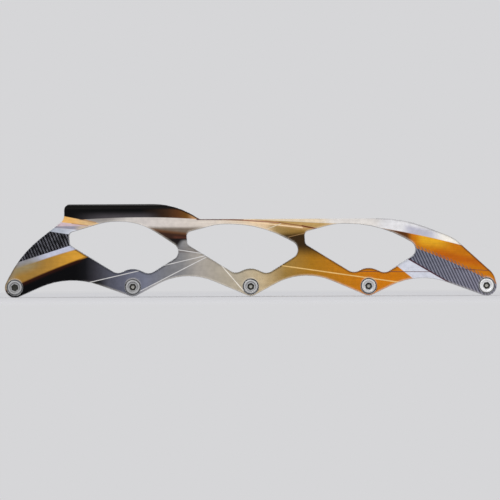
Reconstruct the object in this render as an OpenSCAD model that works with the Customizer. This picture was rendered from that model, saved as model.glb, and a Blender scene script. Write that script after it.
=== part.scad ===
// Five-wheel inline skate frame for speed skating, with its axles.
// One extruded aluminium channel is milled to its side outline; five steel axles cross it and
// screw into steel inserts in the far wall.
// +X points to the toe, +Z up, and the axle heads are on the -Y side.
// The origin is on the floor under the middle axle, in the mid-plane of the frame.

/* [Wheel line] */
// Distance between neighbouring axles
axle_pitch = 82; // [80:0.5:90]
// Width between the bosses that clamp the two bearings of a wheel
bearing_stack = 24.4; // [24:0.1:26]

/* [Channel] */
// Clear width between the side walls
channel_w = 28; // [27.5:0.5:32]
// Thickness of a side wall
wall_t = 2.8; // [2.4:0.1:4]
// Radius of the two long upper edges of the extrusion
shoulder_r = 4; // [2:0.5:5]
// Radius of the inside corners of the channel
channel_r = 2; // [1:0.5:4]
// Radius of the inside corners of the heel box
box_r = 1.5; // [0.5:0.25:2.5]

/* [Decks] */
// Top of the toe deck above the axle line
toe_deck_h = 47.1; // [46.5:0.1:56]
// Thickness of the toe deck and of the heel deck
deck_t = 3.4; // [2.8:0.1:4.2]
// Height of the heel deck above the toe deck
heel_rise = 10.6; // [9:0.1:12]
// Stock that is faced off the toe deck in front of the heel box
facing = 0.3; // [0.2:0.05:0.6]

/* [Heel] */
// Back face of the heel box ahead of the rear axle
heel_back = 34.4; // [30:0.2:40]
// Length of the heel deck, from its back face to the bend of its front ramp
heel_len = 78.4; // [72:0.2:90]
// Run of the front ramp from its bend to the toe deck
ramp_run = 16; // [15.6:0.2:24]
// Radius of the ramp's bend
ramp_bend_r = 56; // [30:1:58]
// Radius at the foot of the ramp
ramp_foot_r = 3; // [1:0.5:6]
// Radius of the back upper corner
heel_corner_r = 4; // [2:0.5:6]
// Radius where the back face meets the tail edge
heel_foot_r = 6; // [3:0.5:9]

/* [Tail and nose] */
// Bend of the tail edge ahead of the rear axle
tail_bend_x = 4.2; // [2:0.2:8]
// Bend of the tail edge above the axle line
tail_bend_h = 23.6; // [19:0.2:26]
// Radius of the tail edge
tail_r = 80; // [50:1:85]
// Top of the tail edge above the axle line, under the heel's back face
tail_top_h = 47; // [44:0.2:48]
// Distance from the front axle back to where the toe deck bends down
nose_top_back = 58.2; // [54:0.2:66]
// Radius of that upper bend
nose_top_r = 90; // [50:1:100]
// Distance from the front axle back to the lower bend of the nose
nose_bend_back = 22.9; // [19:0.2:26]
// Height of the lower bend above the axle line
nose_bend_h = 33.6; // [31:0.2:36]
// Radius of the lower bend
nose_bend_r = 30; // [15:1:45]
// Brow over the front lug, ahead of the front axle
brow_x = 5; // [3:0.1:5.4]
// Brow over the front lug, above the axle line
brow_h = 8.2; // [7.6:0.1:10]
// Radius of the brow
brow_r = 11; // [6:0.5:14]

/* [Lugs and arches] */
// Radius of the first and last lug round its axle, on which the frame stands
end_lug_r = 7; // [6.8:0.1:8]
// Radius of the three lugs between
mid_lug_r = 6.5; // [6.3:0.1:7]
// Radius of the bosses on the inside of the walls
boss_r = 6; // [5.8:0.1:6.2]
// Peak of a middle arch above the axle line, before rounding
arch_h = 12.3; // [8:0.1:14]
// Distance of that peak behind the middle of its bay
arch_skew = 4.7; // [-6:0.1:8]
// Radius of a middle arch
arch_r = 45; // [20:1:50]
// Peak of the rear arch above the axle line, before rounding
rear_arch_h = 8.9; // [6:0.1:10]
// Distance of that peak behind the middle of its bay
rear_arch_skew = 3.2; // [-6:0.1:8]
// Radius of the rear arch
rear_arch_r = 56; // [20:1:60]
// Peak of the front arch above the axle line, before rounding
front_arch_h = 9.6; // [6:0.1:10]
// Distance of that peak behind the middle of its bay
front_arch_skew = 6; // [-6:0.1:8]
// Radius of the front arch
front_arch_r = 50; // [20:1:55]

/* [Windows] */
// Top of the two front windows below the underside of the toe deck
window_drop = 0.2; // [0.2:0.1:3]
// Depth to which the rear window is cut into the floor of the heel box
heel_window_cut = 1.9; // [0.2:0.1:2]
// Front tip of a front window short of the middle of the bay ahead, before rounding
window_tip_short = 2.4; // [0:0.1:4]
// Front tip of a front window above the axle line
window_tip_h = 25.8; // [24:0.2:30]
// Front tip of the rear window short of the middle of the bay ahead, before rounding
heel_window_tip_short = 4.2; // [2:0.1:6]
// Front tip of the rear window above the axle line
heel_window_tip_h = 24.4; // [23:0.2:28]
// Radius of the front tips
window_tip_r = 6; // [4:0.5:7.5]
// Back edge of a window past the middle of the bay behind
window_back_past = 3.5; // [0:0.1:4.5]
// Front bend of a front window's upper edge, ahead of its axle
window_brow_x = 6.6; // [5:0.2:9]
// Radius of that front bend
window_brow_r = 82; // [40:1:88]
// Front bend of the rear window's upper edge, ahead of its axle
heel_window_brow_x = 4.6; // [4:0.2:9]
// Radius of that front bend
heel_window_brow_r = 44; // [36:1:50]
// Back bend of a front window's upper edge, behind its axle
window_crown_x = 23; // [22:0.2:27]
// Back bend of the rear window's upper edge, behind its axle
heel_window_crown_x = 18; // [17:0.2:22]
// Radius of these back bends
window_crown_r = 42; // [20:1:50]
// Upper back corner above the axle line
window_back_top_h = 37.8; // [35:0.2:40]
// Lower back corner above the axle line
window_back_low_h = 29.4; // [27:0.2:31]
// Lean of the back edge
window_back_lean = 0.6; // [0:0.1:2]
// Radius of the back corners
window_back_r = 3.2; // [2:0.2:4]
// Ring of wall that a window leaves round the centre of its axle
window_ring_r = 12.6; // [11.5:0.1:14]
// Valley in front of the ring, ahead of the axle
front_valley_x = 11.4; // [10:0.2:13]
// Valley in front of the ring, above the axle line
front_valley_h = 8.7; // [8:0.1:9.6]
// Valley behind the ring, behind the axle
rear_valley_x = 10.8; // [10:0.2:13]
// Valley behind the ring, above the axle line
rear_valley_h = 9; // [8:0.1:9.6]
// Radius of both valleys
valley_r = 7; // [3:0.5:8]

/* [Boot mounts] */
// Distance from the heel slot to the toe slot
mount_spacing = 165; // [150:1:175]
// Heel slot ahead of the heel's back face
heel_slot_x = 31.6; // [24:0.2:40]
// Width of the mounting slots, for M6 bolts
slot_w = 6.4; // [6.2:0.1:7]
// Length of the mounting slots across the frame
slot_l = 18; // [12:0.5:22]
// Width of the access hole under the heel slot
access_w = 13; // [11:0.5:16]
// Length of the access hole across the frame
access_l = 23; // [18:0.5:25]
// Width of the lightening hole in the toe deck
lightening_w = 12; // [8:0.5:18]
// Length of the lightening hole along the frame
lightening_l = 54; // [30:1:60]
// Distance from the toe slot back to the middle of the lightening hole
lightening_back = 50; // [44:0.5:60]

/* [Axles] */
// Diameter of the wheel seat, for 8 mm bearings
seat_d = 8; // [7:0.05:8.2]
// Diameter of the collar that fills the near wall
collar_d = 8.5; // [8.3:0.05:9]
// Diameter of the axle head
head_d = 10; // [9.4:0.1:10.4]
// Thickness of the axle head
head_t = 2.3; // [1.8:0.1:2.6]
// Bevel of the head's rim
head_bevel = 0.5; // [0.2:0.05:0.8]
// Diameter of the shallow dish in the head
dish_d = 7.2; // [6:0.1:8]
// Depth of that dish
dish_depth = 0.3; // [0.1:0.05:0.5]
// Width of the hex socket across its flats
socket_w = 4; // [3:0.5:5]
// Depth of the hex socket under the dish
socket_depth = 3.6; // [2.5:0.1:5]
// Diameter of the threaded tip
thread_d = 7; // [6:0.1:7.2]
// Diameter of the relief groove between wheel seat and thread
relief_d = 6; // [5:0.1:6.6]
// Length of the relief groove
relief_l = 0.8; // [0.4:0.1:1.2]
// Bevel of the thread's end
tip_bevel = 0.6; // [0.3:0.1:1]

/* [Thread inserts] */
// Diameter of the insert's barrel
barrel_d = 9.6; // [9:0.1:10]
// Diameter of the insert's flange
flange_d = 10.6; // [10.4:0.1:10.8]
// Thickness of the insert's flange
flange_t = 1.2; // [0.8:0.1:1.6]

/* [Fits] */
// Clearance round the axle head and the insert's flange in their counterbores
recess_gap = 0.4; // [0.2:0.05:0.5]
// Depth of the axle head and of the insert below the outside of their wall
sink = 0.1; // [0.05:0.05:0.3]
// Radial clearance of the collar and the thread
running_gap = 0.05; // [0.02:0.01:0.08]
// Radial clearance of the insert's barrel in its bore
press_gap = 0.02; // [0.01:0.01:0.04]
// Clearance from the wheel seat's shoulder to the insert
shoulder_gap = 0.2; // [0.1:0.05:0.4]

/* [Hidden] */
$fn = 64;
// Largest turn of one facet on the milled outlines
facet_turn = 6;
// How far a cutting tool runs past the face that it cuts
past = 2;
// How far a boss is rooted in its wall
root = 1;

axle_z = end_lug_r;
axles = [for (i = [-2:2]) [i * axle_pitch, axle_z]];
rear_axle = axles[0];
front_axle = axles[4];

outside_y = channel_w / 2 + wall_t;
boss_y = bearing_stack / 2;
toe_deck_z = axle_z + toe_deck_h;
heel_deck_z = toe_deck_z + heel_rise;
channel_top_z = toe_deck_z - deck_t;
box_floor_z = toe_deck_z + facing;
box_top_z = heel_deck_z - deck_t;

heel_back_x = rear_axle.x + heel_back;
ramp_bend_x = heel_back_x + heel_len;
slot_heel_x = heel_back_x + heel_slot_x;
slot_toe_x = slot_heel_x + mount_spacing;

head_recess = head_t + sink;
flange_recess = flange_t + sink;
head_recess_d = head_d + 2 * recess_gap;
flange_recess_d = flange_d + 2 * recess_gap;
collar_bore_d = collar_d + 2 * running_gap;
barrel_bore_d = barrel_d + 2 * press_gap;
thread_bore_d = thread_d + 2 * running_gap;

// Plane geometry of the outlines, in X and Z

function heading(angle) = [cos(angle), sin(angle)];

function bearing(from, to) = atan2(to.y - from.y, to.x - from.x);

function plane(p) = [p.x, p.y];

// The point where the line through p at one angle crosses the line through q at another
function crossing(p, p_angle, q, q_angle) =
    let (u = heading(p_angle), v = heading(q_angle))
    p + u * cross(q - p, v) / cross(u, v);

// The corner, with its radius, where the outline wraps a circle between two other corners.
// With side 1 the circle's centre lies to the left of the outline, and with -1 to the right.
function wrap(centre, r, before, after, side = 1) =
    let (
        p = plane(before),
        q = plane(after),
        arrive = bearing(p, centre) - side * asin(r / norm(centre - p)),
        leave = bearing(centre, q) + side * asin(r / norm(q - centre)),
        corner = crossing(p, arrive, q, leave)
    )
    [corner.x, corner.y, r];

// The arc that rounds corner b, which holds its radius, between its neighbours a and c
function corner_arc(a, b, c) =
    let (
        tip = plane(b),
        r = b[2],
        u = heading(bearing(tip, a)),
        v = heading(bearing(tip, c)),
        half = acos(u * v) / 2,
        centre = tip + r / sin(half) * (u + v) / norm(u + v),
        turn = 180 - 2 * half,
        side = cross(u, v) < 0 ? 1 : -1,
        start = bearing(tip, a) + side * 90,
        steps = max(1, ceil(turn / facet_turn))
    )
    r == 0 ? [tip] : [for (i = [0:steps]) centre + r * heading(start + side * turn * i / steps)];

// A closed outline whose corners, given as [x, z, radius], are rounded
function rounded(corners) =
    let (n = len(corners))
    [for (i = [0:n - 1]) each corner_arc(corners[(i + n - 1) % n], corners[i], corners[(i + 1) % n])];

// The peak of the arch over the bay ahead of an axle
function arch(axle, height, skew, r) = [axle.x + axle_pitch / 2 - skew, axle.y + height, r];

// The milled side outline, counter-clockwise from the rear lug
function side_corners() =
    let (
        tail_bend = [rear_axle.x + tail_bend_x, axle_z + tail_bend_h, tail_r],
        arches = [
            arch(axles[0], rear_arch_h, rear_arch_skew, rear_arch_r),
            arch(axles[1], arch_h, arch_skew, arch_r),
            arch(axles[2], arch_h, arch_skew, arch_r),
            arch(axles[3], front_arch_h, front_arch_skew, front_arch_r)
        ],
        brow = [front_axle.x + brow_x, axle_z + brow_h, brow_r]
    )
    [
        wrap(rear_axle, end_lug_r, tail_bend, arches[0]),
        arches[0],
        wrap(axles[1], mid_lug_r, arches[0], arches[1]),
        arches[1],
        wrap(axles[2], mid_lug_r, arches[1], arches[2]),
        arches[2],
        wrap(axles[3], mid_lug_r, arches[2], arches[3]),
        arches[3],
        wrap(front_axle, end_lug_r, arches[3], brow),
        brow,
        [front_axle.x - nose_bend_back, axle_z + nose_bend_h, nose_bend_r],
        [front_axle.x - nose_top_back, toe_deck_z, nose_top_r],
        [ramp_bend_x + ramp_run, toe_deck_z, ramp_foot_r],
        [ramp_bend_x, heel_deck_z, ramp_bend_r],
        [heel_back_x, heel_deck_z, heel_corner_r],
        [heel_back_x, axle_z + tail_top_h, heel_foot_r],
        tail_bend
    ];

// The window over one axle, counter-clockwise from its lower back corner.
// Its upper edge bends at the crown, behind the axle, and at the brow, given as [x, radius], ahead
// of it. Its tip is given as [distance short of the middle of the bay, height].
function window_corners(axle, top_z, crown_x, brow, tip) =
    let (
        back_x = axle.x - axle_pitch / 2 - window_back_past,
        tip_x = axle.x + axle_pitch / 2 - tip[0],
        rear_valley = [axle.x - rear_valley_x, axle.y + rear_valley_h, valley_r],
        front_valley = [axle.x + front_valley_x, axle.y + front_valley_h, valley_r]
    )
    [
        [back_x + window_back_lean, axle.y + window_back_low_h, window_back_r],
        rear_valley,
        wrap(axle, window_ring_r, rear_valley, front_valley, -1),
        front_valley,
        [tip_x, axle.y + tip[1], window_tip_r],
        [axle.x + brow[0], top_z, brow[1]],
        [axle.x - crown_x, top_z, window_crown_r],
        [back_x, axle.y + window_back_top_h, window_back_r]
    ];

// A closed rectangle from (y0, z0) to (y1, z1) with one radius below and another above
function round_box(y0, z0, y1, z1, low_r, high_r) =
    [[y0, z0, low_r], [y1, z0, low_r], [y1, z1, high_r], [y0, z1, high_r]];

// The extrusion's cross-section, in Y and Z: an open channel under a closed box
module extrusion_section() {
    half = channel_w / 2;
    difference() {
        polygon(rounded(round_box(-outside_y, -past, outside_y, heel_deck_z, 0, shoulder_r)));
        polygon(rounded(round_box(-half, -2 * past, half, channel_top_z, 0, channel_r)));
        polygon(rounded(round_box(-half, box_floor_z, half, box_top_z, box_r, box_r)));
    }
}

// The side of the frame as it is milled, in X and Z
module side_section() {
    heel_top_z = channel_top_z + heel_window_cut;
    heel_brow = [heel_window_brow_x, heel_window_brow_r];
    heel_tip = [heel_window_tip_short, heel_window_tip_h];
    toe_top_z = channel_top_z - window_drop;
    toe_brow = [window_brow_x, window_brow_r];
    toe_tip = [window_tip_short, window_tip_h];
    difference() {
        polygon(rounded(side_corners()));
        polygon(rounded(window_corners(axles[1], heel_top_z, heel_window_crown_x, heel_brow, heel_tip)));
        for (i = [2:3])
            polygon(rounded(window_corners(axles[i], toe_top_z, window_crown_x, toe_brow, toe_tip)));
    }
}

module milled_channel() {
    reach = front_axle.x + end_lug_r + past;
    intersection() {
        rotate([90, 0, 0])
            linear_extrude(2 * (outside_y + past), center = true)
                side_section();
        rotate([90, 0, 90])
            linear_extrude(2 * reach, center = true)
                extrusion_section();
    }
}

// A round bar along +Y at an axle, from y0 to y1
module cross_bar(axle, d, y0, y1) {
    translate([axle.x, y1, axle.y])
        rotate([90, 0, 0])
            cylinder(h = y1 - y0, d = d);
}

// A slot with round ends through a deck, between two heights
module deck_slot(x, w, l, across, z0, z1) {
    translate([x, 0, z0])
        rotate([0, 0, across ? 90 : 0])
            linear_extrude(z1 - z0)
                union() {
                    square([l - w, w], center = true);
                    for (end = [-1, 1])
                        translate([end * (l - w) / 2, 0])
                            circle(d = w);
                }
}

module frame_body() {
    color("goldenrod")
        difference() {
            union() {
                milled_channel();
                for (axle = axles) {
                    cross_bar(axle, 2 * boss_r, -channel_w / 2 - root, -boss_y);
                    cross_bar(axle, 2 * boss_r, boss_y, channel_w / 2 + root);
                }
            }
            for (axle = axles) {
                cross_bar(axle, head_recess_d, -outside_y - past, -outside_y + head_recess);
                cross_bar(axle, collar_bore_d, -outside_y - past, 0);
                cross_bar(axle, barrel_bore_d, 0, outside_y + past);
                cross_bar(axle, flange_recess_d, outside_y - flange_recess, outside_y + past);
            }
            deck_slot(slot_heel_x, slot_w, slot_l, true, box_top_z - past, heel_deck_z + past);
            deck_slot(slot_heel_x, access_w, access_l, true, channel_top_z - past, box_floor_z + past);
            deck_slot(slot_toe_x, slot_w, slot_l, true, channel_top_z - past, toe_deck_z + past);
            deck_slot(
                slot_toe_x - lightening_back, lightening_w, lightening_l, false,
                channel_top_z - past, toe_deck_z + past
            );
        }
}

// An axle bolt, turned about its own centre line and laid across the frame, head at -Y
module axle(place) {
    head_y = -outside_y + sink;
    collar_y = head_y + head_t;
    seat_y = -boss_y;
    shoulder_y = boss_y - shoulder_gap;
    thread_y = shoulder_y + relief_l;
    tip_y = outside_y - sink;
    color("silver")
        translate([place.x, 0, place.y])
            rotate([-90, 0, 0])
                difference() {
                    rotate_extrude()
                        polygon([
                            [0, head_y + dish_depth],
                            [dish_d / 2 - dish_depth, head_y + dish_depth],
                            [dish_d / 2, head_y],
                            [head_d / 2 - head_bevel, head_y],
                            [head_d / 2, head_y + head_bevel],
                            [head_d / 2, collar_y],
                            [collar_d / 2, collar_y],
                            [collar_d / 2, seat_y],
                            [seat_d / 2, seat_y],
                            [seat_d / 2, shoulder_y],
                            [relief_d / 2, shoulder_y],
                            [relief_d / 2, thread_y],
                            [thread_d / 2, thread_y],
                            [thread_d / 2, tip_y - tip_bevel],
                            [thread_d / 2 - tip_bevel, tip_y],
                            [0, tip_y]
                        ]);
                    translate([0, 0, head_y - past])
                        cylinder(h = past + dish_depth + socket_depth, d = socket_w / cos(30), $fn = 6);
                }
}

// A flanged bush in the far wall, its flange outside so that the axle pulls it home
module thread_insert(place) {
    flange_y = outside_y - flange_recess;
    color("lightgray")
        difference() {
            union() {
                cross_bar(place, barrel_d, boss_y, flange_y + flange_t / 2);
                cross_bar(place, flange_d, flange_y, flange_y + flange_t);
            }
            cross_bar(place, thread_bore_d, boss_y - past, outside_y + past);
        }
}

frame_body();
for (i = [1:5]) {
    axle(axles[i - 1]);
    thread_insert(axles[i - 1]);
}
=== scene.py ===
"""Five-wheel inline skate frame with its axles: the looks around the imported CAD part."""

import math

import bmesh
import bpy
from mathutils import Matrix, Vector


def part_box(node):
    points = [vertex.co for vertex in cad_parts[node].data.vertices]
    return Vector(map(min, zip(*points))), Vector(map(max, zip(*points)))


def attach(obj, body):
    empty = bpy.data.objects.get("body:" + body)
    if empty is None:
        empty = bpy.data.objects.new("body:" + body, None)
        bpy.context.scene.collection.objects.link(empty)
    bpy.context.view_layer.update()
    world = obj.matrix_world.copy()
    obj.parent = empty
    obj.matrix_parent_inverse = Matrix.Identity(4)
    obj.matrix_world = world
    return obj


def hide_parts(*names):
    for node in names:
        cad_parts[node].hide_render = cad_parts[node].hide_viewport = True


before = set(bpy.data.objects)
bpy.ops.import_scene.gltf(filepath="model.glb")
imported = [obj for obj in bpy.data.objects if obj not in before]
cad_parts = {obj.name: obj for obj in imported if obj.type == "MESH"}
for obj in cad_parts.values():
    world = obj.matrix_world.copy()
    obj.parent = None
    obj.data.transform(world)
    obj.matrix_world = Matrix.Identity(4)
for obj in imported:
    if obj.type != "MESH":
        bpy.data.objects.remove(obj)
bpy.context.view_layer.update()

# Frame body: one length of extruded aluminium channel with a closed box along its top.
# It is milled to its side outline, every edge is broken by a fine chamfer, and its two sides
# are brushed, printed and clear-coated. The other pieces are fixed to it.

MM = 0.001

side_edge_break, inner_edge_break = 0.3 * MM, 0.14 * MM
shoulder_r, counterbore_r = 4 * MM, 5.7 * MM
weld_gap, flush = 0.002 * MM, 0.02 * MM
flat_turn, smooth_turn, sharp_turn = math.radians(0.3), math.radians(35), math.radians(40)
side_facing, shoulder_facing = 0.3, 0.08
PRINT, ALLOY, CUT_EDGE = range(3)

channel_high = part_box("frame_body")[1]
outside_y = channel_high.y
axle_numbers = range(1, 6)
axle_boxes = [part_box(f"axle_{number}") for number in axle_numbers]
axle_centres = [(low + high) / 2 for low, high in axle_boxes]

channel = bmesh.new()
channel.from_mesh(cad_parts["frame_body"].data)
bmesh.ops.remove_doubles(channel, verts=channel.verts, dist=weld_gap)
bmesh.ops.dissolve_limit(channel, angle_limit=flat_turn, verts=channel.verts, edges=channel.edges)


def break_edges(shape, width, wanted):
    """Rounds the sharp outer edges that are wanted, and returns the new faces."""
    sharp = [
        e for e in shape.edges if e.is_convex and e.calc_face_angle(0) > sharp_turn and wanted(e)
    ]
    made = bmesh.ops.bevel(
        shape,
        geom=sharp,
        offset=width,
        offset_type="OFFSET",
        segments=2,
        profile=0.5,
        affect="EDGES",
        clamp_overlap=False,
    )
    return made["faces"]


def on_outside(edge):
    """Whether both ends of an edge lie on the outer face of a side wall."""
    return all(abs(v.co.y) > outside_y - flush for v in edge.verts)


break_edges(channel, side_edge_break, on_outside)
cut_faces = break_edges(channel, inner_edge_break, lambda edge: True)
for v in channel.verts:
    v.co.y = max(-outside_y, min(outside_y, v.co.y))
channel.normal_update()
for f in channel.faces:
    centre = f.calc_center_median()
    on_side = abs(f.normal.y) > side_facing and abs(centre.y) > outside_y - side_edge_break
    on_shoulder = abs(f.normal.y) > shoulder_facing and centre.z > channel_high.z - shoulder_r
    f.material_index = PRINT if on_side or on_shoulder else ALLOY
    to_seat = min(math.hypot(centre.x - c.x, centre.z - c.z) for c in axle_centres)
    if on_side and to_seat < counterbore_r + side_edge_break:
        f.material_index = CUT_EDGE
for f in cut_faces:
    if f.is_valid:
        f.material_index = CUT_EDGE


def smooth_piece(name, shape):
    """An object from a bmesh, shaded smooth where its faces turn only a little."""
    mesh = bpy.data.meshes.new(name)
    shape.to_mesh(mesh)
    shape.free()
    mesh.shade_smooth()
    mesh.set_sharp_from_angle(angle=smooth_turn)
    piece = bpy.data.objects.new(name, mesh)
    bpy.context.scene.collection.objects.link(piece)
    return piece


channel_body = smooth_piece("channel_body", channel)
flatten = channel_body.modifiers.new("flat_faces", "WEIGHTED_NORMAL")
flatten.keep_sharp = True


def ink(red, green, blue):
    """An sRGB colour of 0 to 255 as the linear colour that a node takes."""

    def linear(c):
        c /= 255
        return c / 12.92 if c <= 0.04045 else ((c + 0.055) / 1.055) ** 2.4

    return (linear(red), linear(green), linear(blue), 1.0)


def wire(tree, socket, value):
    """Feeds a socket from another node's output, or sets it to a plain value."""
    if isinstance(value, bpy.types.NodeSocket):
        tree.links.new(value, socket)
    else:
        socket.default_value = value


def put(tree, kind, wires=None, **settings):
    """A shader node with its settings; each wire is a socket's name and a value or an output."""
    made = tree.nodes.new("ShaderNode" + kind)
    for name, value in settings.items():
        setattr(made, name, value)
    for name, value in (wires or {}).items():
        wire(tree, made.inputs[name], value)
    return made


def calc(tree, operation, *values):
    """The output of a Math node."""
    return put(tree, "Math", dict(enumerate(values)), operation=operation).outputs[0]


def vector(tree, operation, *values, output=0):
    """An output of a Vector Math node."""
    return put(tree, "VectorMath", dict(enumerate(values)), operation=operation).outputs[output]


def ramp01(tree, value, low, high, smooth=False):
    """A value brought from low..high to 0..1."""
    wires = {"Value": value, "From Min": low, "From Max": high}
    kind = "SMOOTHSTEP" if smooth else "LINEAR"
    return put(tree, "MapRange", wires, interpolation_type=kind).outputs[0]


def blend(tree, mask, under, over):
    """One colour over another by a mask."""
    made = tree.nodes.new("ShaderNodeMix")
    made.data_type = "RGBA"
    sockets = [s for s in made.inputs if s.enabled]
    for socket, value in zip(sockets, (mask, under, over)):
        wire(tree, socket, value)
    return next(s for s in made.outputs if s.enabled)


def effect(name, inputs, outputs):
    """A new shader node group, what its inputs give and the sockets that take its outputs."""
    group = bpy.data.node_groups.new(name, "ShaderNodeTree")
    for socket, kind in inputs:
        group.interface.new_socket(socket, in_out="INPUT", socket_type="NodeSocket" + kind)
    for socket, kind in outputs:
        group.interface.new_socket(socket, in_out="OUTPUT", socket_type="NodeSocket" + kind)
    given = group.nodes.new("NodeGroupInput").outputs
    return group, given, group.nodes.new("NodeGroupOutput").inputs


def use(tree, group, **wires):
    """A group placed in a material; an underscore in a wire's name stands for a space."""
    made = tree.nodes.new("ShaderNodeGroup")
    made.node_tree = group
    for name, value in wires.items():
        wire(tree, made.inputs[name.replace("_", " ")], value)
    return made.outputs


# Brush and mill marks, as fine lines drawn out along one direction
brush_lines, given, result = effect(
    "brush_lines", [("Position", "Vector"), ("Lines per Metre", "Vector")], [("Lines", "Float")]
)
drawn = vector(brush_lines, "MULTIPLY", given["Position"], given["Lines per Metre"])
marks = put(brush_lines, "TexNoise", {"Vector": drawn, "Scale": 1, "Detail": 5, "Roughness": 0.65})
brush_lines.links.new(marks.outputs["Fac"], result["Lines"])

# Edges that handling has rubbed, broken up by a fine noise
rubbed_edges, given, result = effect(
    "rubbed_edges", [("Reach", "Float"), ("Spots per Metre", "Float")], [("Rubbed", "Float")]
)
rounded = put(rubbed_edges, "Bevel", {"Radius": given["Reach"]}, samples=6).outputs[0]
facing = put(rubbed_edges, "NewGeometry").outputs["Normal"]
turned = vector(rubbed_edges, "DOT_PRODUCT", rounded, facing, output="Value")
near_edge = ramp01(rubbed_edges, turned, 0.998, 0.9)
where = put(rubbed_edges, "TexCoord").outputs["Object"]
spots = put(
    rubbed_edges,
    "TexNoise",
    {"Vector": where, "Scale": given["Spots per Metre"], "Detail": 6, "Roughness": 0.7},
)
spotted = ramp01(rubbed_edges, spots.outputs["Fac"], 0.45, 0.7)
rubbed_edges.links.new(calc(rubbed_edges, "MULTIPLY", near_edge, spotted), result["Rubbed"])

# Painted shade in the seats of the axles, round the sunk heads, on the outside of both walls
axle_seat_shade, given, result = effect("axle_seat_shade", [("Position", "Vector")], [("Seat Shade", "Float")])
apart = put(axle_seat_shade, "SeparateXYZ", {"Vector": given["Position"]}).outputs
half_pitch = (axle_centres[1].x - axle_centres[0].x) / 2
beside = calc(axle_seat_shade, "WRAP", apart["X"], half_pitch, -half_pitch)
upward = calc(axle_seat_shade, "SUBTRACT", apart["Z"], axle_centres[0].z)
flat = put(axle_seat_shade, "CombineXYZ", {"X": beside, "Y": upward}).outputs[0]
away = vector(axle_seat_shade, "LENGTH", flat, output="Value")
shade_none_r, shade_full_r = counterbore_r + 0.1 * MM, counterbore_r - 0.2 * MM
near_seat = ramp01(axle_seat_shade, away, shade_none_r, shade_full_r, smooth=True)
across = calc(axle_seat_shade, "ABSOLUTE", apart["Y"])
shade_none_y, shade_full_y = outside_y - 3 * MM, outside_y - 1.5 * MM
outside = ramp01(axle_seat_shade, across, shade_none_y, shade_full_y)
axle_seat_shade.links.new(calc(axle_seat_shade, "MULTIPLY", near_seat, outside), result["Seat Shade"])

# One edge of a printed area: 1 on its left side, 0 on its right
print_edge, given, result = effect(
    "print_edge",
    [
        ("Place", "Vector"),
        ("Across", "Vector"),
        ("Along", "Vector"),
        ("Curve", "Float"),
        ("Softness", "Float"),
    ],
    [("Inside", "Float")],
)
across = vector(print_edge, "DOT_PRODUCT", given["Place"], given["Across"], output="Value")
along = vector(print_edge, "DOT_PRODUCT", given["Place"], given["Along"], output="Value")
bowed = calc(print_edge, "MULTIPLY", calc(print_edge, "MULTIPLY", along, along), given["Curve"])
distance = calc(print_edge, "ADD", across, bowed)
outer = calc(print_edge, "MULTIPLY", given["Softness"], -1)
inside = ramp01(print_edge, distance, outer, given["Softness"], smooth=True)
print_edge.links.new(inside, result["Inside"])

# A printed pinstripe from one point to another
pinstripe, given, result = effect(
    "pinstripe",
    [("Place", "Vector"), ("From", "Vector"), ("To", "Vector"), ("Half Width", "Float")],
    [("Stripe", "Float")],
)
reach = vector(pinstripe, "SUBTRACT", given["To"], given["From"])
offset = vector(pinstripe, "SUBTRACT", given["Place"], given["From"])
run = vector(pinstripe, "DOT_PRODUCT", offset, reach, output="Value")
span = vector(pinstripe, "DOT_PRODUCT", reach, reach, output="Value")
share = put(pinstripe, "Clamp", {"Value": calc(pinstripe, "DIVIDE", run, span)}).outputs[0]
foot = put(pinstripe, "VectorMath", {0: reach, "Scale": share}, operation="SCALE").outputs[0]
away = vector(pinstripe, "DISTANCE", offset, foot, output="Value")
beyond = calc(pinstripe, "MULTIPLY", given["Half Width"], 1.5)
within = calc(pinstripe, "MULTIPLY", given["Half Width"], 0.5)
pinstripe.links.new(ramp01(pinstripe, away, beyond, within, smooth=True), result["Stripe"])

# Two-by-two twill: warp tows pass over two weft tows and under two
twill_weave, given, result = effect(
    "twill_weave",
    [("Place", "Vector"), ("Warp", "Vector"), ("Weft", "Vector")],
    [("Shine", "Float"), ("Height", "Float")],
)
column = vector(twill_weave, "DOT_PRODUCT", given["Place"], given["Warp"], output="Value")
row = vector(twill_weave, "DOT_PRODUCT", given["Place"], given["Weft"], output="Value")
step = calc(
    twill_weave, "ADD", calc(twill_weave, "FLOOR", column), calc(twill_weave, "FLOOR", row)
)
warp_over = calc(twill_weave, "LESS_THAN", calc(twill_weave, "FLOORED_MODULO", step, 4), 1.5)
warp_round = calc(twill_weave, "PINGPONG", column, 0.5)
weft_round = calc(twill_weave, "PINGPONG", row, 0.5)
warp_gain, warp_least, weft_gain = 1.2, 0.4, 0.35
warp_shine = calc(twill_weave, "MULTIPLY_ADD", warp_round, warp_gain, warp_least)
weft_shine = calc(twill_weave, "MULTIPLY", weft_round, weft_gain)
shine = put(
    twill_weave, "Mix", {"Factor": warp_over, "A": weft_shine, "B": warp_shine}, data_type="FLOAT"
)
height = put(
    twill_weave, "Mix", {"Factor": warp_over, "A": weft_round, "B": warp_round}, data_type="FLOAT"
)
twill_weave.links.new(shine.outputs[0], result["Shine"])
twill_weave.links.new(height.outputs[0], result["Height"])


def material(name):
    """A new material, its node tree, its Principled shader and its object coordinates."""
    made = bpy.data.materials.new(name)
    made.use_nodes = True
    tree = made.node_tree
    return made, tree, tree.nodes["Principled BSDF"], put(tree, "TexCoord").outputs["Object"]


# The print is laid out in millimetres along the frame and above the floor, alike on both walls
printed, skin, coat, where = material("printed_side")
apart = put(skin, "SeparateXYZ", {"Vector": where}).outputs
along_mm = calc(skin, "DIVIDE", apart["X"], MM)
up_mm = calc(skin, "DIVIDE", apart["Z"], MM)
place = put(skin, "CombineXYZ", {"X": along_mm, "Y": up_mm, "Z": 1}).outputs[0]
print_front = round(channel_high.x / MM)
print_back = -print_front
print_blur = 0.2


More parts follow.
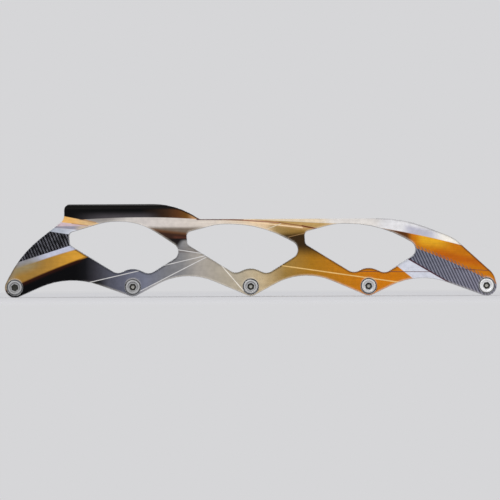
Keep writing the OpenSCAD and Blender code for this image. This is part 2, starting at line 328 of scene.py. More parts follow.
def fade(*stops):
    """A colour that changes along the frame; each stop is a place in millimetres and a colour."""
    share = ramp01(skin, along_mm, print_back, print_front)
    band = put(skin, "ValToRGB", {"Fac": share})
    elements = band.color_ramp.elements
    while len(elements) < len(stops):
        elements.new(0.5)
    for element, (x, colour) in zip(elements, stops):
        element.position = (x - print_back) / (print_front - print_back)
        element.color = ink(*colour)
    return band.outputs["Color"]


def edge(start, end, bow=0, soft=print_blur):
    """A mask of what lies left of a line, which may bow to its left, with a soft border."""
    start, end = Vector(start), Vector(end)
    way = (end - start).normalized()
    left = Vector((-way.y, way.x))
    middle = (start + end) / 2
    return use(
        skin,
        print_edge,
        Place=place,
        Across=(left.x, left.y, -left.dot(middle) - bow),
        Along=(way.x, way.y, -way.dot(middle)),
        Curve=4 * bow / (end - start).length_squared,
        Softness=soft,
    )["Inside"]


def behind(x, soft=print_blur):
    """A mask of what lies behind a place along the frame."""
    return edge((x, 0), (x, 1), soft=soft)


def ahead_of(x, soft=print_blur):
    """A mask of what lies ahead of a place along the frame."""
    return edge((x, 1), (x, 0), soft=soft)


def above(height, soft=print_blur):
    """A mask of what lies above a height."""
    return edge((0, height), (1, height), soft=soft)


def below(height, soft=print_blur):
    """A mask of what lies below a height."""
    return edge((1, height), (0, height), soft=soft)


def area(*masks):
    """The mask of what lies inside all of the masks that are given."""
    mask = masks[0]
    for other in masks[1:]:
        mask = calc(skin, "MULTIPLY", mask, other)
    return mask


def stripe(start, end, half_width):
    """The mask of a pinstripe."""
    ends = {"From": (*start, 1), "To": (*end, 1)}
    return use(skin, pinstripe, Place=place, Half_Width=half_width, **ends)["Stripe"]


def weave(tow, turn):
    """Shine and height of a twill with tows of that width, turned by an angle in degrees."""
    c, s = math.cos(math.radians(turn)) / tow, math.sin(math.radians(turn)) / tow
    made = use(skin, twill_weave, Place=place, Warp=(c, s, 0), Weft=(-s, c, 0))
    return made["Shine"], made["Height"]


leg_fade = fade(
    (-122, (3, 3, 5)),
    (-115, (16, 16, 20)),
    (-108, (54, 53, 60)),
    (-101, (80, 80, 90)),
    (-92, (98, 100, 115)),
    (-73, (128, 131, 148)),
    (-58, (133, 133, 137)),
    (-48, (142, 141, 142)),
    (-36, (182, 175, 166)),
    (-8, (196, 184, 160)),
    (8, (214, 192, 152)),
    (14, (196, 170, 124)),
    (24, (170, 134, 66)),
    (42, (180, 124, 26)),
    (68, (208, 130, 18)),
    (84, (218, 129, 8)),
)
rail_fade = fade(
    (-135, (200, 206, 219)),
    (-106, (214, 211, 208)),
    (-70, (224, 216, 210)),
    (-26, (234, 222, 208)),
    (10, (244, 214, 172)),
    (18, (174, 144, 88)),
    (28, (164, 128, 64)),
    (44, (182, 140, 62)),
    (56, (206, 168, 96)),
    (66, (228, 222, 214)),
    (80, (227, 226, 227)),
    (110, (236, 236, 238)),
)
colour = blend(skin, above(43, soft=3.5), leg_fade, rail_fade)

# No metal shows through the black, and about half of it from the grey on
metal_share = fade((-118, (10, 10, 10)), (-90, (190, 190, 190)), (100, (190, 190, 190)))


def lay(mask, tone, metal, strength=1):
    """Prints a tone over what is there, at a strength; metal is how much metal shows through."""
    global colour, metal_share
    if strength < 1:
        mask = calc(skin, "MULTIPLY", mask, strength)
    colour = blend(skin, mask, colour, ink(*tone) if isinstance(tone, tuple) else tone)
    metal_share = blend(skin, mask, metal_share, (metal, metal, metal, 1))


# Painted shade along the edges that face up, and a painted highlight along those that face down
rim_reach = 2.6 * MM
rounded = put(skin, "Bevel", {"Radius": rim_reach}, samples=8).outputs[0]
tilt = put(skin, "SeparateXYZ", {"Vector": rounded}).outputs["Z"]
up_facing_shade = ramp01(skin, tilt, 0.05, 0.25)
down_facing_highlight = ramp01(skin, tilt, -0.1, -0.4)

# Heel: a dark wrap over the box, and a sand-coloured band under its back end
tail = behind(-96, soft=3)
upper_tail = area(tail, above(38))
lay(area(upper_tail, edge((-108, 49.7), (-131, 52), soft=0.3)), (216, 192, 198), 0.2)
# A painted shadow under the back end of the dark wrap
painted_shadow_under_heel = area(
    edge((-122, 50.6), (-88, 52.2), soft=1.4),
    ahead_of(-119, soft=2),
    behind(-92, soft=9),
)
lay(painted_shadow_under_heel, (160, 154, 150), 0.3)
sand = area(tail, edge((-131, 52.2), (-111, 50)), edge((-107, 51.7), (-120, 55.5), soft=0.5))
lay(sand, (247, 192, 112), 0.3)
lay(area(sand, ahead_of(-120, soft=7)), (226, 190, 138), 0.3)
pale_band = area(upper_tail, edge((-118, 46.8), (-136, 48.6)))
lay(pale_band, (188, 194, 206), 0.2)
lay(area(pale_band, ahead_of(-126, soft=6)), (228, 231, 242), 0.2)
under_sand = area(
    tail, edge((-136, 48.6), (-118, 46.8)), edge((-110, 49.7), (-135, 49.5), soft=0.4)
)
lay(under_sand, (208, 188, 164), 0.2)
lay(area(under_sand, behind(-120, soft=4)), (158, 155, 170), 0.2)
lay(stripe((-118.6, 54.3), (-107.6, 52), 0.4), (186, 146, 108), 0.3)
lay(stripe((-124.2, 51.4), (-113, 49.9), 0.25), (192, 148, 112), 0.3)
heel_fade = fade(
    (-76, (6, 6, 7)),
    (-66, (34, 23, 16)),
    (-58, (60, 39, 23)),
    (-50, (94, 56, 27)),
    (-43.5, (118, 78, 27)),
    (-39.5, (206, 156, 108)),
)
heel = area(
    edge((-119, 53.9), (-36, 54), bow=1.5, soft=0.25),
    edge((-131, 56.75), (-117, 53.95)),
    behind(-33),
)
lay(heel, heel_fade, 0.05)
# A painted sheen: a dark grey reflection over the lower part of the black wrap
heel_painted_sheen = area(heel, below(57.6, soft=2.6), behind(-68, soft=8), ahead_of(-112, soft=14))
lay(heel_painted_sheen, (104, 99, 104), 0.1, strength=0.5)
# Painted shade along the wrap's edges that face up
lay(area(heel, up_facing_shade), (9, 7, 6), 0.05)

# Tail: a woven panel, a pale strip and a gold flash that burns out to black round the first arch
rear_shine, rear_height = weave(tow=0.72, turn=-22)
rear_panel = area(edge((-125, 43.7), (-140, 46)), edge((-157, 26), (-126, 35.9)))
mottle = put(skin, "TexNoise", {"Vector": where, "Scale": 300, "Detail": 4}).outputs["Fac"]
mottled = ramp01(skin, mottle, 0.35, 0.65)
uneven_shine = calc(skin, "MULTIPLY", rear_shine, calc(skin, "MULTIPLY_ADD", mottled, 0.5, 0.6))
rear_twill = blend(skin, ramp01(skin, uneven_shine, 0.42, 1), ink(5, 5, 8), ink(136, 136, 146))
pale_strip = area(
    tail,
    edge((-126, 35.9), (-157, 26)),
    edge((-160, 20.4), (-120.7, 33), bow=0.6, soft=0.6),
)
lay(pale_strip, (204, 207, 226), 0.2)
lay(area(pale_strip, behind(-147, soft=9)), (152, 150, 152), 0.3)
lay(rear_panel, rear_twill, 0.1)
gold_flash = area(
    tail,
    edge((-120.7, 33.4), (-160, 20.8), bow=-0.6, soft=0.6),
    edge((-160, 9.4), (-113.7, 28), bow=0.6, soft=0.6),
)
lay(gold_flash, (172, 130, 58), 0.6)
lay(area(gold_flash, edge((-128, 40), (-138, 10), soft=14)), (234, 170, 56), 0.6)
olive_wash = area(
    tail,
    behind(-148, soft=7),
    edge((-126, 32.4), (-157, 22.8), soft=2.2),
    edge((-160, 17), (-121, 29.6), soft=3),
)
lay(olive_wash, (158, 140, 100), 0.5)
lug_wash = area(edge((-167, 0), (-163, 24), soft=2.5), above(4, soft=2))
lay(lug_wash, (158, 138, 106), 0.5)
burn = area(tail, edge((-112, 29), (-160, 10), bow=-0.6, soft=0.8))
lay(area(gold_flash, burn), (104, 50, 12), 0.4)
ember = area(
    tail,
    edge((-113.7, 28.2), (-160, 9.6), bow=-0.6, soft=0.5),
    edge((-160, 7.6), (-113.7, 26.2), bow=0.6, soft=1.2),
    behind(-118, soft=3),
)
lay(ember, (44, 14, 6), 0.1)
under_stripe = area(edge((-78, 18.2), (-113, 10.2)), behind(-103, soft=5))
lay(under_stripe, (9, 9, 11), 0.1)

# Posts between the windows: scorched bronze that fades out downward
rear_post = area(behind(-28, soft=3), ahead_of(-80, soft=3), above(33, soft=3))
lay(area(rear_post, edge((-28, 48.2), (-80, 48.6), soft=1.4)), (128, 114, 100), 0.5)
lay(area(rear_post, edge((-28, 42.6), (-80, 48.9), soft=1.1)), (112, 74, 46), 0.5)
lay(area(rear_post, edge((-28, 41.2), (-80, 47.4), soft=1.1)), (58, 34, 22), 0.5)
red_streak = area(
    rear_post,
    above(40.6, soft=0.7),
    edge((-28, 40.4), (-80, 44.6), soft=1.2),
    ahead_of(-53.5, soft=1.5),
)
lay(red_streak, (88, 48, 34), 0.5)
lay(area(rear_post, edge((-28, 40.3), (-80, 40.9), soft=0.6)), (22, 15, 15), 0.4)
post_foot = area(rear_post, edge((-47.3, 39.8), (-50.5, 35.2), soft=1.9), below(39.4, soft=1.2))
lay(post_foot, leg_fade, 0.5)
lay(area(rear_post, below(34, soft=1.2)), leg_fade, 0.5)
front_post = area(behind(56, soft=3), ahead_of(8, soft=3))
brown_post = area(
    front_post, edge((48, 45.2), (20, 43.2), soft=2.4), edge((20, 31.2), (48, 30.2), soft=5.5)
)
lay(brown_post, (56, 38, 12), 0.45)

# Rail: a white wedge over gold, parted from the rest by a dark red line
gold_wedge = area(
    edge((-4, 54), (44, 47.4), bow=0.5, soft=0.2),
    ahead_of(4, soft=6),
    behind(70, soft=5),
)
lay(gold_wedge, (200, 164, 100), 0.5)
white_wedge = area(edge((8, 53.4), (61, 50.4), soft=0.4), ahead_of(6, soft=6), behind(90, soft=6))
lay(white_wedge, (234, 229, 223), 0.2)
lay(area(white_wedge, behind(52, soft=7)), (238, 218, 186), 0.2)
# Painted shade: a dark line along the top edge of the rail
lay(stripe((-37, 53.9), (-20, 53.8), 0.55), (96, 64, 52), 0.2)
lay(stripe((-20, 53.8), (-5, 53.2), 0.5), (134, 92, 68), 0.2)
under_line = area(
    edge((36, 49), (6, 53), soft=0.3),
    edge((6, 50.7), (36, 46.7), soft=1.4),
    ahead_of(15, soft=3),
    behind(40, soft=3),
)
lay(under_line, (206, 166, 112), 0.5)
lay(stripe((0, 51.9), (36, 47.8), 0.4), (255, 222, 180), 0.3)
lay(stripe((-5, 53.1), (20, 51.4), 0.42), (168, 118, 92), 0.2)
lay(stripe((20, 51.4), (37, 48.9), 0.34), (150, 100, 60), 0.2)
lay(stripe((36, 49), (47, 46.8), 0.45), (112, 44, 24), 0.2)

# Nose: white over orange, a woven panel down to the front lug, and pale blue over the front arch
pale_arch = area(edge((102.3, 20.4), (113.8, 11.3)), below(30))
lay(pale_arch, (222, 225, 236), 0.15)
over_orange = edge((96.5, 46.2), (144.5, 35.6), bow=0.5, soft=0.3)
lay(area(over_orange, ahead_of(94, soft=8)), (240, 239, 240), 0.15)
lay(area(over_orange, ahead_of(130, soft=7)), (255, 250, 239), 0.1)
nose_shade = area(
    over_orange,
    edge((134, 43.5), (104, 50.1), soft=1.8),
    ahead_of(108, soft=3.5),
    behind(128, soft=6),
)
lay(nose_shade, (197, 196, 210), 0.2)
# Painted shade along the nose's edges that face up
nose_rim_shade = area(ramp01(skin, tilt, 0.25, 0.5), over_orange, ahead_of(84, soft=6))
lay(nose_rim_shade, (104, 98, 100), 0.2, strength=0.6)
orange_nose = area(
    ahead_of(90),
    edge((144.5, 35.6), (96.5, 46.2), bow=-0.5, soft=0.3),
    edge((98, 36), (170, 4), soft=0.3),
)
lay(orange_nose, (213, 125, 5), 0.6)
yellow_glow = area(
    orange_nose,
    edge((112, 36.5), (142, 33), soft=3.5),
    edge((138, 20), (134, 50), soft=8),
    ahead_of(117, soft=4),
)
lay(yellow_glow, (246, 182, 36), 0.6)
deep_glow = area(
    orange_nose,
    edge((160, 25), (120, 34), soft=2.2),
    edge((124, 26), (164, 20), soft=3),
    ahead_of(128, soft=4),
)
lay(deep_glow, (204, 104, 4), 0.6)
lay(area(orange_nose, edge((112.5, 30), (109.5, 50), soft=2.8)), (96, 52, 12), 0.5)
front_shine, front_height = weave(tow=0.66, turn=-20)
front_lines = ramp01(skin, front_shine, 0.15, 1)
panel_foot = edge((110.3, 25.6), (139.1, 8.8), soft=0.25)
fringe = area(edge((164.1, 13.5), (116, 34.9), bow=-0.9, soft=0.4), panel_foot)
lay(area(fringe, front_lines), (110, 100, 102), 0.3)
front_panel = area(edge((162.9, 12.1), (115, 33.2), bow=-0.9, soft=0.3), panel_foot)
weave_dark = fade((118, (66, 69, 82)), (158, (84, 84, 97)))
weave_light = fade((118, (152, 154, 170)), (158, (170, 168, 186)))
lay(front_panel, blend(skin, front_lines, weave_dark, weave_light), 0.3)
lay(stripe((109.2, 26), (140.6, 7.6), 0.45), (74, 38, 50), 0.1)

# Pinstripes: the ends of each, its tone and half its width
pale_line, gold_line, dark_line = (226, 224, 222), (246, 204, 130), (98, 62, 66)
for ends, tone, half_width in (
    (((-113, 10.2), (-78, 18.2)), pale_line, 0.27),
    (((-77, 4.1), (-31, 27.5)), pale_line, 0.28),
    (((-60, 22), (-31, 28.7)), pale_line, 0.27),
    (((-52, 33), (-34, 30.2)), pale_line, 0.27),
    (((-21, 22.6), (-5, 4)), (250, 243, 230), 0.32),
    (((22, 21.4), (104, 9.4)), gold_line, 0.36),
    (((11, 46.8), (21, 50.6)), (232, 218, 190), 0.24),
    (((26, 41.2), (38, 44)), (166, 130, 86), 0.2),
    (((70, 17.2), (124.4, 16.7)), dark_line, 0.2),
    (((141, 18.8), (166, 17.4)), dark_line, 0.2),
):
    lay(stripe(*ends, half_width), tone, 0.3)

# Brushed metal under the ink, painted shade round the axle seats, and rims with painted shade
# where they face up and a painted highlight where they face down
brushed = use(skin, brush_lines, Position=where, Lines_per_Metre=(28, 10, 900))["Lines"]
streak = ramp01(skin, brushed, 0.3, 0.7)
seat_shade_mask = use(skin, axle_seat_shade, Position=where)["Seat Shade"]
share = put(skin, "RGBToBW", {"Color": metal_share}).outputs[0]
painted_highlight_edge = calc(skin, "MULTIPLY", area(down_facing_highlight, share), 0.8)
colour = blend(skin, painted_highlight_edge, colour, ink(248, 240, 226))
below_rail = below(51, soft=0.5)
pale_leg = area(ahead_of(-50, soft=4), behind(-12, soft=4))
rim_shade_amount = calc(skin, "MULTIPLY_ADD", pale_leg, -0.55, 1)
painted_shade_edge = area(below_rail, up_facing_shade, rim_shade_amount, share)

# For each kind of mark, the tone where there is none and what it gains where it is full
tone = 1
for marks, least, gain in (
    (streak, 0.93, 0.14),
    (mottled, 0.94, 0.12),
    (painted_shade_edge, 1, -1.3),
    (seat_shade_mask, 1, -0.6),
):
    tone = calc(skin, "MULTIPLY", tone, calc(skin, "MULTIPLY_ADD", marks, gain, least))

# Rubbed edges have lost both the ink and the clear coat
streaked = put(skin, "HueSaturation", {"Color": colour, "Value": tone})
rubbed = use(skin, rubbed_edges, Reach=0.5 * MM, Spots_per_Metre=420)["Rubbed"]
worn = calc(skin, "MULTIPLY", rubbed, 0.7)
bare_alloy = ink(206, 207, 210)
skin.links.new(blend(skin, worn, streaked.outputs["Color"], bare_alloy), coat.inputs["Base Color"])
skin.links.new(calc(skin, "MULTIPLY_ADD", streak, 0.12, 0.3), coat.inputs["Roughness"])
skin.links.new(metal_share, coat.inputs["Metallic"])
clear = calc(skin, "MULTIPLY_ADD", share, 0.35, 0.02)
unworn = calc(skin, "SUBTRACT", 1, worn)
skin.links.new(calc(skin, "MULTIPLY", clear, unworn), coat.inputs["Coat Weight"])
coat.inputs["Coat Roughness"].default_value = 0.12
coat.inputs["Specular IOR Level"].default_value = 0.06

# The tows of the weave and the brushed lines show as fine relief
rear_relief = calc(skin, "MULTIPLY", rear_panel, rear_height)
front_relief = calc(skin, "MULTIPLY", front_panel, front_height)
woven = calc(skin, "ADD", rear_relief, front_relief)
relief = calc(skin, "MULTIPLY_ADD", woven, 0.8, calc(skin, "MULTIPLY", brushed, 0.25))
bump = put(skin, "Bump", {"Height": relief, "Strength": 0.25, "Distance": 0.06 * MM})
skin.links.new(bump.outputs[0], coat.inputs["Normal"])

# Milled and drawn faces keep the bare satin of the alloy
milled, tree, metal, where = material("milled_alloy")
drawn = use(tree, brush_lines, Position=where, Lines_per_Metre=(36, 1500, 1500))["Lines"]
cutter = put(
    tree,
    "TexWave",
    {"Vector": where, "Scale": 190, "Distortion": 1.2, "Detail": 2, "Detail Scale": 3},
    wave_type="RINGS",
    rings_direction="Z",
).outputs["Fac"]
facing = put(tree, "SeparateXYZ", {"Vector": put(tree, "NewGeometry").outputs["Normal"]}).outputs
on_deck = ramp01(tree, facing["Z"], 0.6, 0.9)
cutter_share = calc(tree, "MULTIPLY", on_deck, 0.3)
mixed = put(tree, "Mix", {"Factor": cutter_share, "A": drawn, "B": cutter}, data_type="FLOAT")
marks = mixed.outputs[0]
rubbed = use(tree, rubbed_edges, Reach=0.6 * MM, Spots_per_Metre=300)["Rubbed"]
satin = blend(tree, ramp01(tree, drawn, 0.3, 0.7), ink(176, 178, 182), bare_alloy)
# Painted shade round the axle seats
seat_shade_tone = ink(48, 46, 43)
seat_shade_mask = calc(tree, "MULTIPLY", use(tree, axle_seat_shade, Position=where)["Seat Shade"], 0.8)
satin = blend(tree, seat_shade_mask, blend(tree, rubbed, satin, ink(228, 229, 231)), seat_shade_tone)
tree.links.new(satin, metal.inputs["Base Color"])
metal.inputs["Metallic"].default_value = 1
tree.links.new(calc(tree, "MULTIPLY_ADD", marks, 0.16, 0.3), metal.inputs["Roughness"])
bump = put(tree, "Bump", {"Height": marks, "Strength": 0.3, "Distance": 0.03 * MM})
tree.links.new(bump.outputs[0], metal.inputs["Normal"])

# The broken edges are cut last, so they are the brightest
cut_edge, tree, metal, where = material("cut_edge")
fine = use(tree, brush_lines, Position=where, Lines_per_Metre=(500, 500, 500))["Lines"]
bright = blend(tree, ramp01(tree, fine, 0.3, 0.7), ink(196, 197, 200), ink(232, 232, 234))
# Painted shade round the axle seats
seat_shade_mask = calc(tree, "MULTIPLY", use(tree, axle_seat_shade, Position=where)["Seat Shade"], 0.75)
tree.links.new(blend(tree, seat_shade_mask, bright, seat_shade_tone), metal.inputs["Base Color"])
metal.inputs["Metallic"].default_value = 1
tree.links.new(calc(tree, "MULTIPLY_ADD", fine, 0.2, 0.14), metal.inputs["Roughness"])
bump = put(tree, "Bump", {"Height": fine, "Strength": 0.2, "Distance": 0.02 * MM})
tree.links.new(bump.outputs[0], metal.inputs["Normal"])

for finish in (printed, milled, cut_edge):
    channel_body.data.materials.append(finish)
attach(channel_body, "frame")
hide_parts("frame_body")

# Thread inserts: flanged steel bushes, turned and tapped, pressed into the far wall from outside.
# The axle pulls the flange home in its counterbore, so the soft alloy carries no thread.

around = 96
thread_pitch = 1
flank_slope, root_flat = 2.4, 0.1
wall_y = round(outside_y / MM, 3)
boss_y = 12.2
sink = 0.1


def thread_turn(angle, y):
    """0 at the bottom and 1 at the top of a vee thread, at an angle and a place along it."""
    share = (y / thread_pitch - angle / math.tau) % 1
    return min(1, max(0, flank_slope * abs(share - 0.5) - root_flat))


def turned_shape(rings, closed, turn=0):
    """A turned piece along Y from rings, each a function of the angle that gives radius and y."""
    shape = bmesh.new()
    angles = [math.tau * i / around for i in range(around)]
    start = math.radians(turn)
    rows = []
    for ring in rings:
        row = []
        for angle in angles:
            radius, y = ring(angle)
            across, up = math.cos(angle + start), math.sin(angle + start)
            spot = Vector((radius * across, y, radius * up)) * MM
            row.append(shape.verts.new(spot))
        rows.append(row)
    pairs = list(zip(rows, rows[1:]))
    if closed:
        pairs.append((rows[-1], rows[0]))
    else:
        shape.faces.new(rows[0])
        shape.faces.new(reversed(rows[-1]))
    for here, there in pairs:
        for i in range(around):
            j = (i + 1) % around
            shape.faces.new((here[i], there[i], there[j], here[j]))
    bmesh.ops.recalc_face_normals(shape, faces=shape.faces)
    return shape


def circle(radius, y):
    """A plain ring."""
    return lambda angle: (radius, y)


def eased(corners, cut):
    """Rings along a turned profile, with each corner between its ends rounded in three points."""
    points = [Vector(c) for c in corners]
    out = [points[0]]
    for before, corner, after in zip(points, points[1:], points[2:]):
        a = corner + (before - corner).normalized() * cut
        b = corner + (after - corner).normalized() * cut
        out += [a, a * 0.25 + corner * 0.5 + b * 0.25, b]
    out.append(points[-1])
    return [circle(p.x, p.y) for p in out]


barrel_r, flange_r, bore_r = 4.8, 5.3, 3.55
flange_t = 1.2
insert_corner_cut = 0.12
mouth_bevel, inner_mouth_bevel, plain_mouth = 0.35, 0.3, 0.4
tap_depth, thread_fade = 0.35, 0.5
flange_y = wall_y - sink
bore_top, bore_bottom = flange_y - plain_mouth, boss_y + mouth_bevel
bore_steps = 46


def bore_ring(y):
    """A ring of the tapped bore, which runs out to a plain mouth at both ends."""
    past_mouth = min(y - boss_y, flange_y - y) - mouth_bevel
    depth = tap_depth * max(0, min(1, past_mouth / thread_fade))
    return lambda angle: (bore_r + depth * thread_turn(angle, y), y)


insert_rings = eased(
    [
        (bore_r + inner_mouth_bevel, boss_y),
        (barrel_r, boss_y),
        (barrel_r, flange_y - flange_t),
        (flange_r, flange_y - flange_t),
        (flange_r, flange_y),
        (bore_r + mouth_bevel, flange_y),
        (bore_r, flange_y - mouth_bevel),
    ],
    insert_corner_cut,
)
insert_rings += [
    bore_ring(bore_top + (bore_bottom - bore_top) * i / bore_steps) for i in range(bore_steps + 1)
]

# Marks of the lathe: rings on an end face, and lines round a shank
lathe_marks, given, result = effect(
    "lathe_marks",
    [("Position", "Vector"), ("Lines per Metre", "Float")],
    [("Lines", "Float"), ("Radius", "Float")],
)
apart = put(lathe_marks, "SeparateXYZ", {"Vector": given["Position"]}).outputs
flat = put(lathe_marks, "CombineXYZ", {"X": apart["X"], "Y": apart["Z"]}).outputs[0]
radius = vector(lathe_marks, "LENGTH", flat, output="Value")
path = calc(lathe_marks, "ADD", radius, apart["Y"])
feed = calc(lathe_marks, "MULTIPLY", path, given["Lines per Metre"])
marks = put(
    lathe_marks,
    "TexNoise",
    {"W": feed, "Scale": 1, "Detail": 4, "Roughness": 0.7},
    noise_dimensions="1D",
)
lathe_marks.links.new(marks.outputs["Fac"], result["Lines"])
lathe_marks.links.new(radius, result["Radius"])


def turned_steel(name, dark, light, lines, rough, shade_ring=None):
    """Bare steel with lathe marks, brighter along its rubbed edges.

    Painted shade may lie in a ring between two radii, on the side of a plane that faces the heads.
    """
    made, tree, steel, where = material(name)
    turning = use(tree, lathe_marks, Position=where, Lines_per_Metre=lines)
    feed = turning["Lines"]
    rubbed = use(tree, rubbed_edges, Reach=0.25 * MM, Spots_per_Metre=900)["Rubbed"]
    tone = blend(tree, ramp01(tree, feed, 0.3, 0.7), ink(*dark), ink(*light))
    if shade_ring:
        inner, outer, plane_y = (size * MM for size in shade_ring)
        ring_blur, plane_blur = 0.15 * MM, 0.5 * MM
        radius = turning["Radius"]
        past_inner = ramp01(tree, radius, inner - ring_blur, inner + ring_blur)
        before_outer = ramp01(tree, radius, outer + ring_blur, outer - ring_blur)
        across = put(tree, "SeparateXYZ", {"Vector": where}).outputs["Y"]
        on_head = ramp01(tree, across, plane_y, plane_y - plane_blur)
        ring_shade_amount = 0.7
        for limit in (past_inner, before_outer, on_head):
            ring_shade_amount = calc(tree, "MULTIPLY", limit, ring_shade_amount)
        tone = blend(tree, ring_shade_amount, tone, ink(70, 69, 66))
    tree.links.new(blend(tree, rubbed, tone, ink(236, 236, 236)), steel.inputs["Base Color"])
    steel.inputs["Metallic"].default_value = 1
    tree.links.new(calc(tree, "MULTIPLY_ADD", feed, 0.2, rough), steel.inputs["Roughness"])
    bump = put(tree, "Bump", {"Height": feed, "Strength": 0.35, "Distance": 0.02 * MM})
    tree.links.new(bump.outputs[0], steel.inputs["Normal"])
    return made


def on_axis(node):
    """Where the axis of a turned node crosses the middle of the frame."""
    low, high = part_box(node)
    return (low.x + high.x) / 2, 0, (low.z + high.z) / 2


insert_steel = turned_steel(
    "insert_steel", (150, 147, 138), (190, 187, 178), lines=2600, rough=0.26
)
for number in axle_numbers:
    insert = smooth_piece(f"insert_{number}", turned_shape(insert_rings, closed=True))
    insert.location = on_axis(f"thread_insert_{number}")
    insert.data.materials.append(insert_steel)
    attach(insert, "frame")
    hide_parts(f"thread_insert_{number}")

# Axles: steel bolts turned from bar, with a dished round head that sits sunk in the near wall.
# The hex socket is broached, the wheel seat is ground to the bearings' bore, and the rolled
# thread on the tip screws into the insert.

head_r, head_t, head_bevel = 5, 2.3, 0.3
dish_r, dish_depth = 3.6, 0.3
socket_half, socket_depth, socket_floor_r = 2, 3.6, 1.1
mouth_break, mouth_r = 0.3, 2.9
collar_r, seat_r, relief_r, thread_r = 4.25, 4, 3, 3.5
shoulder_gap, relief_length = 0.2, 0.8
thread_depth, thread_start, plain_tip = 0.42, 0.4, 0.15
thread_steps = 44
tip_bevel = 0.6
centre_hole_r, centre_hole_depth = 0.6, 0.4
drill_point_r, drill_point_depth = 0.05, 0.1
axle_corner_cut = 0.1

head_y, tip_y = -wall_y + sink, wall_y - sink
head_back_y = head_y + head_t
dish_y = head_y + dish_depth
socket_y = dish_y + socket_depth
shoulder_y = boss_y - shoulder_gap
thread_y = shoulder_y + relief_length


def hex_radius(angle):
    """The distance from the axis to the wall of the hex socket."""
    return socket_half / math.cos((angle + math.pi / 6) % (math.pi / 3) - math.pi / 6)


def axle_thread_ring(y):
    """A ring of the axle's thread, which starts and ends shallow."""
    cut = min(1, (y - thread_y) / thread_start, (tip_y - plain_tip - y) / thread_fade)
    depth = thread_depth * max(0, cut)
    bevelled = thread_r - max(0, y - tip_y + tip_bevel)
    return lambda angle: (min(bevelled, thread_r - depth * (1 - thread_turn(angle, y))), y)


socket_rings = [
    circle(drill_point_r, socket_y + drill_point_depth),
    circle(socket_floor_r, socket_y),
    lambda angle: (hex_radius(angle), socket_y),
    lambda angle: (hex_radius(angle), dish_y + mouth_break),
    lambda angle: (hex_radius(angle) + mouth_break, dish_y),
]
body_rings = eased(
    [
        (mouth_r, dish_y),
        (dish_r - dish_depth, dish_y),
        (dish_r, head_y),
        (head_r - head_bevel, head_y),
        (head_r, head_y + head_bevel),
        (head_r, head_back_y),
        (collar_r, head_back_y),
        (collar_r, -boss_y),
        (seat_r, -boss_y),
        (seat_r, shoulder_y),
        (relief_r, shoulder_y),
        (relief_r, thread_y),
        (thread_r, thread_y),
    ],
    axle_corner_cut,
)
thread_step = (tip_y - thread_y) / thread_steps
thread_rings = [axle_thread_ring(thread_y + thread_step * (i + 0.5)) for i in range(thread_steps)]
end_rings = [
    circle(thread_r - tip_bevel, tip_y),
    circle(centre_hole_r, tip_y),
    circle(drill_point_r, tip_y - centre_hole_depth),
]
axle_rings = socket_rings + body_rings + thread_rings + end_rings

# A ring of painted shade in the corner of the dish
dish_shade_r, dish_shade_width = dish_r - 0.05, 0.35
dish_corner = (dish_shade_r - dish_shade_width, dish_shade_r, head_back_y)
shank_steel = turned_steel("shank_steel", (188, 189, 189), (222, 223, 224), lines=1500, rough=0.24)
# The socket's walls take a dark painted shade of the same steel
shaded_socket_steel = turned_steel("shaded_socket_steel", (58, 58, 54), (94, 93, 87), lines=5000, rough=0.3)
socket_floor = turned_steel(
    "socket_floor", (176, 174, 166), (222, 220, 212), lines=5000, rough=0.3
)

# Each head: its turn in degrees, its grey, where painted shade lies in it and what its socket ends
# in. The greys are painted light, paler toward the front, and the first socket ends in painted
# shade
heads = (
    (8, 164, dish_corner, shaded_socket_steel),
    (31, 172, dish_corner, socket_floor),
    (52, 184, dish_corner, socket_floor),
    (17, 202, None, socket_floor),
    (40, 240, None, socket_floor),
)
HEAD, SOCKET, SOCKET_FLOOR, SHANK = range(4)
mark_contrast = 32
face_gap = 0.01
socket_front_y, socket_back_y = dish_y + face_gap, socket_y + drill_point_depth + face_gap
for number, (turn, lit_grey, shade_ring, floor_steel) in zip(axle_numbers, heads):
    pale = min(255, lit_grey + mark_contrast)
    lit_head_steel = turned_steel(
        f"head_{number}_steel",
        (lit_grey, lit_grey, lit_grey),
        (pale, pale, pale),
        lines=1500,
        rough=0.25,
        shade_ring=shade_ring,
    )
    shape = turned_shape(axle_rings, closed=False, turn=turn)
    for f in shape.faces:
        spot = f.calc_center_median() / MM
        from_axis = math.hypot(spot.x, spot.z)
        f.material_index = HEAD if spot.y < head_back_y - face_gap else SHANK
        if socket_front_y < spot.y < socket_back_y and from_axis < mouth_r:
            f.material_index = SOCKET_FLOOR if from_axis < socket_floor_r else SOCKET
    axle = smooth_piece(f"axle_bolt_{number}", shape)
    axle.location = on_axis(f"axle_{number}")
    for finish in (lit_head_steel, shaded_socket_steel, floor_steel, shank_steel):
        axle.data.materials.append(finish)
    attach(axle, f"axle_{number}")
    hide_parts(f"axle_{number}")

# Studio: a plain pale floor under an even pale surround, three large soft lamps, and a long lens
# level with the frame, square to its side as in the photograph.

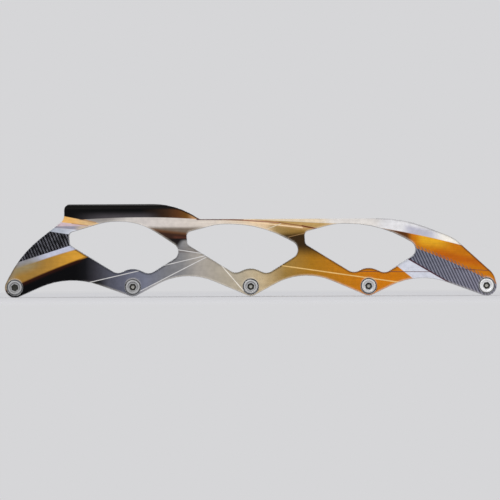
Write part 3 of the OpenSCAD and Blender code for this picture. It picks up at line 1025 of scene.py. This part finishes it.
floor_r, floor_fade_r = 1.6, 0.64
floor_shape = bmesh.new()
bmesh.ops.create_circle(floor_shape, cap_ends=True, segments=128, radius=floor_r)
floor = smooth_piece("studio_floor", floor_shape)
floor_paint, tree, paint, where = material("floor_paint")
mottle = put(tree, "TexNoise", {"Vector": where, "Scale": 60, "Detail": 6}).outputs["Fac"]
pale = blend(tree, ramp01(tree, mottle, 0.3, 0.7), ink(206, 206, 208), ink(210, 210, 212))
tree.links.new(pale, paint.inputs["Base Color"])
paint.inputs["Roughness"].default_value = 0.9
paint.inputs["Specular IOR Level"].default_value = 0
from_middle = vector(tree, "LENGTH", where, output="Value")
faded = ramp01(tree, from_middle, floor_r, floor_fade_r, smooth=True)
tree.links.new(faded, paint.inputs["Alpha"])
floor.data.materials.append(floor_paint)

surround = bpy.data.worlds.new("surround")
surround.use_nodes = True
surround.node_tree.nodes["Background"].inputs["Color"].default_value = ink(214, 214, 216)
bpy.context.scene.world = surround

subject = Vector((0, 0, 0.03))
for name, spot, size, watts in (
    ("key_lamp", (-1.1, -1.9, 1.6), (2.2, 1.6), 20),
    ("fill_lamp", (1.4, -1.8, 0.9), (1.6, 1.2), 8),
    ("back_lamp", (0.2, 1.2, 1.8), (2.4, 1.6), 11),
):
    light = bpy.data.lights.new(name, "AREA")
    light.shape = "RECTANGLE"
    light.size, light.size_y = size
    light.energy = watts
    lamp = bpy.data.objects.new(name, light)
    lamp.location = spot
    lamp.rotation_euler = (subject - lamp.location).to_track_quat("-Z", "Y").to_euler()
    lamp.visible_camera = False
    bpy.context.scene.collection.objects.link(lamp)

photo_width = 347.5 * MM
photo_centre = Vector((-0.4, 0, 32.4)) * MM
photo_roll = math.radians(0.27)
lens = bpy.data.cameras.new("camera")
lens.lens = 1000
lens.sensor_width = 36
lens.clip_end = 20
camera = bpy.data.objects.new("camera", lens)
stand_off = photo_width * lens.lens / lens.sensor_width
camera.location = photo_centre - Vector((0, outside_y + stand_off, 0))
camera.rotation_euler = (math.radians(90), photo_roll, 0)
bpy.context.scene.collection.objects.link(camera)
bpy.context.scene.camera = camera

bpy.context.scene.view_settings.view_transform = "Standard"
